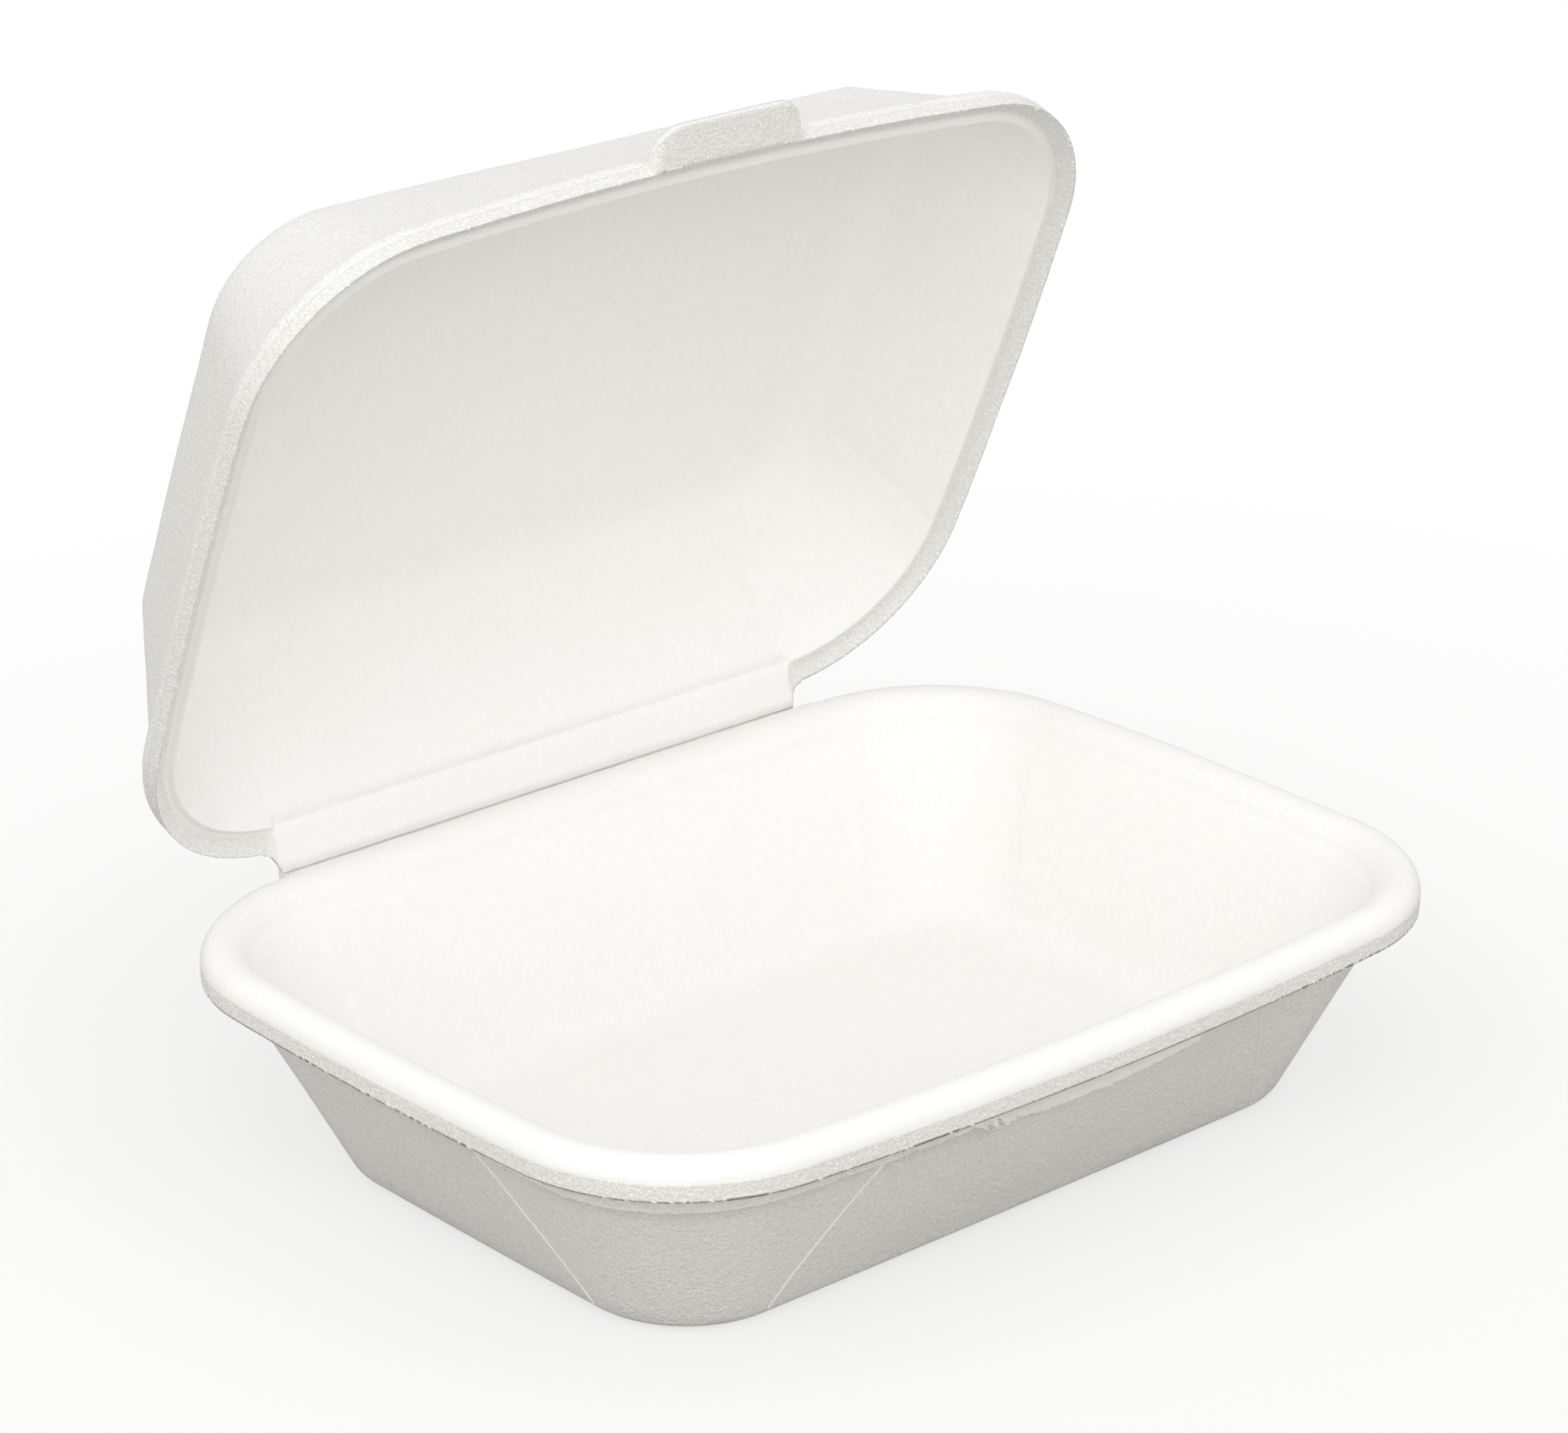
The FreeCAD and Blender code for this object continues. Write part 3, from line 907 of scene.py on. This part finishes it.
# %% The trimmed face of one shell, where the hinge isn't
def face_of(name, net, band, keep):
    first, last = band
    rows = net[first:last - 1]
    count, columns = rows.shape[:2]
    faces = []
    for row in range(count - 1):
        for column in np.nonzero(keep)[0]:
            after = (int(column) + 1) % columns
            low, high = row * columns, (row + 1) * columns
            faces.append((low + int(column), high + int(column), high + after, low + after))
    mesh = bpy.data.meshes.new(name)
    mesh.from_pydata(rows.reshape(-1, 3).tolist(), [], faces)
    if sum(face.normal.x * face.center.x * face.area for face in mesh.polygons) < 0:
        mesh.flip_normals()
    return mesh


# %% [markdown]
# ## The pressed fold
# The two halves of the hinge are one pressed strip that bends. A thin web joins them behind the fold line,
# made in the lid's open place and fixed there.

# %% Web of the hinge
web_inner, web_outer = 0.1 * mm, 1.5 * mm
web_steps, web_ribs = 14, 80
web_lap = 0.12              # radians that the web reaches over each half of the strip


def make_web():
    first = -math.pi / 2 - web_lap
    last = math.pi / 2 - lid_angle + web_lap
    turns = [first + (last - first) * step / web_steps for step in range(web_steps + 1)]
    ring = [(web_outer, turn) for turn in turns] + [(web_inner, turn) for turn in reversed(turns)]
    web = bmesh.new()
    loops = []
    for rib in range(web_ribs + 1):
        x = -strip_half + 2 * strip_half * rib / web_ribs
        places = [(x, fold.y - fold_gap + radius * math.cos(turn), fold.z + radius * math.sin(turn))
                  for radius, turn in ring]
        loops.append([web.verts.new(place) for place in places])
    for one, two in zip(loops, loops[1:]):
        for step in range(len(ring)):
            after = (step + 1) % len(ring)
            web.faces.new((one[step], one[after], two[after], two[step]))
    web.faces.new(loops[0])
    web.faces.new(list(reversed(loops[-1])))
    bmesh.ops.recalc_face_normals(web, faces=web.faces)
    mesh = bpy.data.meshes.new("hinge_web")
    web.to_mesh(mesh)
    web.free()
    piece = bpy.data.objects.new("hinge_web", mesh)
    bpy.context.collection.objects.link(piece)
    return piece


web_piece = make_web()
print("hinge web faces", len(web_piece.data.polygons))

# %% [markdown]
# ## Finish of the foam
# Moulded foam is white and nearly matt, with a satin skin. Under the skin lie the small cells of the
# beads, which show as faint mottling and as a fine, slightly glinting grain. Where a blade has cut
# through, the open cells catch shadow, so the trimmed face is greyer and rougher.


# %% Foam, its skins and its trimmed face
skin_white = (0.93, 0.928, 0.918, 1)
skin_dim = (0.905, 0.902, 0.890, 1)
cut_light = (0.90, 0.895, 0.88, 1)
cut_dark = (0.78, 0.772, 0.755, 1)
skin_shade = (0.80, 0.795, 0.78, 1)
bead, cell, grain, speck = 1.5 * mm, 0.55 * mm, 0.22 * mm, 0.5 * mm
wobble_size, wobble_reach, cloud = 4 * mm, 0.5 * mm, 14 * mm


def make_foam():
    material, foam = new_material("moulded foam")
    place = foam.node("ShaderNodeTexCoord").outputs["Object"]
    wobble = foam.node("ShaderNodeTexNoise", inputs={
        "Vector": place, "Scale": 1 / wobble_size, "Detail": 2.0}).outputs["Color"]
    shifted = foam.value("ShaderNodeVectorMath", 0, {"operation": "MULTIPLY_ADD"}, {
        0: wobble, 1: (wobble_reach,) * 3, 2: place})
    beads, cells = (foam.value("ShaderNodeTexVoronoi", "Distance", None, {
        "Vector": shifted, "Scale": 1 / size}) for size in (bead, cell))
    fines, broad = foam.noise(place, grain, 3.0), foam.noise(place, cloud, 3.0)
    trimmed = foam.value("ShaderNodeAttribute", "Fac", {"attribute_name": "trimmed"})
    outside = foam.value("ShaderNodeAttribute", "Fac", {"attribute_name": "outside"})
    mottle = foam.ramp(beads * 0.6 + cells * 0.5 + broad * 0.4, 0.35, 0.95)
    smooth = foam.blend(mottle, skin_white, skin_dim)
    speckle = foam.ramp(foam.noise(place, speck, 2.0), 0.42, 0.62)
    skin = foam.blend(outside * speckle * 0.8, smooth, skin_shade)
    pits = foam.ramp(cells * 0.7 + fines * 0.6, 0.40, 0.75)
    cut = foam.blend(pits, cut_light, cut_dark)
    colour = foam.blend(trimmed, skin, cut)
    glint = foam.ramp(fines, 0.50, 0.66)
    rough = 0.52 - outside * glint * 0.22 + trimmed * 0.4
    relief = (beads * 0.35 + cells * 0.5) * (0.25 + outside * 1.6) + fines * (0.15 + outside * 0.7)
    height = relief + trimmed * (cells * 0.7 + fines * 0.6)
    bump = foam.node("ShaderNodeBump", inputs={"Strength": 0.7, "Distance": 0.2 * mm, "Height": height})
    body = foam.node("ShaderNodeBsdfPrincipled", inputs={
        "Base Color": colour, "Roughness": rough, "Normal": bump.outputs[0], "IOR": 1.45})
    foam.node("ShaderNodeOutputMaterial", inputs={0: body.outputs[0]})
    return material


foam_material = make_foam()
for piece in (tray_piece, lid_piece, web_piece):
    piece.data.materials.append(foam_material)

# %% Beads on both trimmed faces
bead_radius, bead_density = 0.34 * mm, 1.4e6
bead_nodes = bead_tree()


def grown(name, mesh, nodes, values):
    """Runs a node tree on a mesh and keeps the result as a plain mesh."""
    carrier = bpy.data.objects.new(name, mesh)
    bpy.context.collection.objects.link(carrier)
    modifier = carrier.modifiers.new(name, "NODES")
    modifier.node_group = nodes
    for item in nodes.interface.items_tree:
        if item.in_out == "INPUT" and item.name in values:
            modifier[item.identifier] = values[item.name]
    bpy.context.view_layer.update()
    graph = bpy.context.evaluated_depsgraph_get()
    made = bpy.data.meshes.new_from_object(carrier.evaluated_get(graph), depsgraph=graph)
    carrier.modifiers.remove(modifier)
    carrier.data = made
    print(name, "faces", len(made.polygons))
    return carrier


def make_beads(name, face, seed):
    values = {"Bead radius": bead_radius, "Beads per square metre": bead_density}
    return grown(name, face, bead_nodes, values | {"Seed": seed, "Foam": foam_material})


tray_keep, lid_keep = (strip_share(loft, loft.y) == 0 for loft in (tray_loft, lid_loft))
tray_face = face_of("tray_face", tray_worn, tray_bands["trimmed"], tray_keep)
lid_face = face_of("lid_face", lid_worn, lid_bands["trimmed"], lid_keep)
lid_face.transform(open_lid)
tray_beads = make_beads("beads_tray", tray_face, 5)
lid_beads = make_beads("beads_lid", lid_face, 8)

# %% Creases on the tray's outer wall
ridge_radius, ridge_step = 0.2 * mm, 1.5 * mm
ridge_paths = crease_paths("crease_paths", tray_worn, tray_loft, tray_bands["outer wall"])
tray_creases = grown("creases_tray", ridge_paths, ridge_tree(),
                     {"Ridge radius": ridge_radius, "Step": ridge_step, "Foam": foam_material})
for node in frame["nodes"].values():
    for material_slot in node.material_slots:
        material_slot.material = foam_material
print("foam finish on", tray_piece.name, lid_piece.name, web_piece.name)

# %% [markdown]
# ## Riding on the bodies
# The tray's mesh stands for the tray's solid and the lid's for the lid's. The web stays fixed between them.

# %% Bodies
for piece, body in ((tray_piece, "tray"), (lid_piece, "lid")):
    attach(piece, body)
    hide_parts(body)
for piece, body in ((tray_beads, "tray"), (tray_creases, "tray"), (lid_beads, "lid")):
    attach(piece, body)
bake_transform(web_piece)

# %% [markdown]
# ## Floor, light and camera
# The photograph has a white ground. Here a pale floor keeps the container's soft shadow, and turns to
# plain white away from it for the camera alone. One large soft lamp stands at the upper left. The world
# fills the shadows, more from the front left than from behind, and is plain white where it is seen.

# %% Floor
floor_size, fade_start, fade_end = 6.0, 0.12, 0.34
shadow_keep = 0.35
floor_pale, floor_bounce = (0.86, 0.86, 0.86, 1), (0.47, 0.457, 0.425, 1)


def make_floor():
    mesh = bpy.data.meshes.new("floor")
    half = floor_size / 2
    corners = [(-half, -half, 0), (half, -half, 0), (half, half, 0), (-half, half, 0)]
    mesh.from_pydata(corners, [], [(0, 1, 2, 3)])
    floor = bpy.data.objects.new("floor", mesh)
    bpy.context.collection.objects.link(floor)
    material, shader = new_material("pale floor")
    place = shader.node("ShaderNodeTexCoord").outputs["Object"]
    distance = shader.value("ShaderNodeVectorMath", "Value", {"operation": "LENGTH"}, {0: place})
    away = shader.ramp(distance, fade_start, fade_end)
    path = shader.node("ShaderNodeLightPath")
    seen = Sum(shader, path.outputs["Is Camera Ray"])
    tone = shader.blend(seen, floor_bounce, floor_pale)
    lit = shader.node("ShaderNodeBsdfDiffuse", inputs={"Color": tone})
    white = shader.node("ShaderNodeEmission", inputs={"Color": (1, 1, 1, 1), "Strength": 1.0})
    factor = seen * (1 - shadow_keep * (1 - away))
    mixed = shader.node("ShaderNodeMixShader", inputs={0: factor, 1: lit.outputs[0], 2: white.outputs[0]})
    shader.node("ShaderNodeOutputMaterial", inputs={0: mixed.outputs[0]})
    mesh.materials.append(material)


make_floor()

# %% World and lamp
fill_level, fill_least, fill_way = 0.845, 0.57, (-0.42, -0.50, 0.15)
fill_colour = (1.0, 0.995, 0.98, 1)
key_power, key_size = 1.7, 0.9
key_place, key_aim = Vector((-0.75, -0.35, 1.15)), Vector((0, 0.01, 0.05))


def make_light():
    world = bpy.data.worlds.new("studio")
    bpy.context.scene.world = world
    world.use_nodes = True
    tree = Tree(world.node_tree)
    path = tree.node("ShaderNodeLightPath").outputs
    seen = Sum(tree, path["Is Camera Ray"])
    for ray in ("Is Glossy Ray", "Is Transmission Ray"):
        seen = seen.most(path[ray])
    way = tree.value("ShaderNodeTexCoord", "Generated")
    slope = tree.value("ShaderNodeVectorMath", "Value", {"operation": "DOT_PRODUCT"}, {
        0: way, 1: fill_way})
    level = (slope + fill_level).most(fill_least)
    fill = tree.value("ShaderNodeBackground", inputs={"Color": fill_colour, "Strength": level})
    plain_white = tree.value("ShaderNodeBackground", inputs={"Color": (1, 1, 1, 1)})
    mixed = tree.value("ShaderNodeMixShader", inputs={0: seen, 1: fill, 2: plain_white})
    tree.node("ShaderNodeOutputWorld", inputs={0: mixed})
    lamp = bpy.data.lights.new("key", "AREA")
    lamp.shape, lamp.size, lamp.energy = "DISK", key_size, key_power
    key = bpy.data.objects.new("key", lamp)
    key.location = key_place
    key.rotation_euler = (key_place - key_aim).to_track_quat("Z", "Y").to_euler()
    bpy.context.collection.objects.link(key)


make_light()

# %% Camera
view_azimuth, view_elevation = math.radians(-41.66), math.radians(21.73)
view_distance, view_lens = 813.4 * mm, 117.6
view_aim = Vector((-8.5, 0, 73.1)) * mm


def make_camera():
    camera = bpy.data.objects.new("camera", bpy.data.cameras.new("camera"))
    back = Vector((math.sin(view_azimuth) * math.cos(view_elevation),
                   -math.cos(view_azimuth) * math.cos(view_elevation), math.sin(view_elevation)))
    camera.location = view_aim + back * view_distance
    camera.rotation_euler = back.to_track_quat("Z", "Y").to_euler()
    camera.data.sensor_width, camera.data.lens = 36, view_lens
    camera.data.clip_start, camera.data.clip_end = 10 * mm, 10
    bpy.context.collection.objects.link(camera)
    bpy.context.scene.camera = camera


make_camera()
bpy.context.scene.view_settings.view_transform = "Standard"
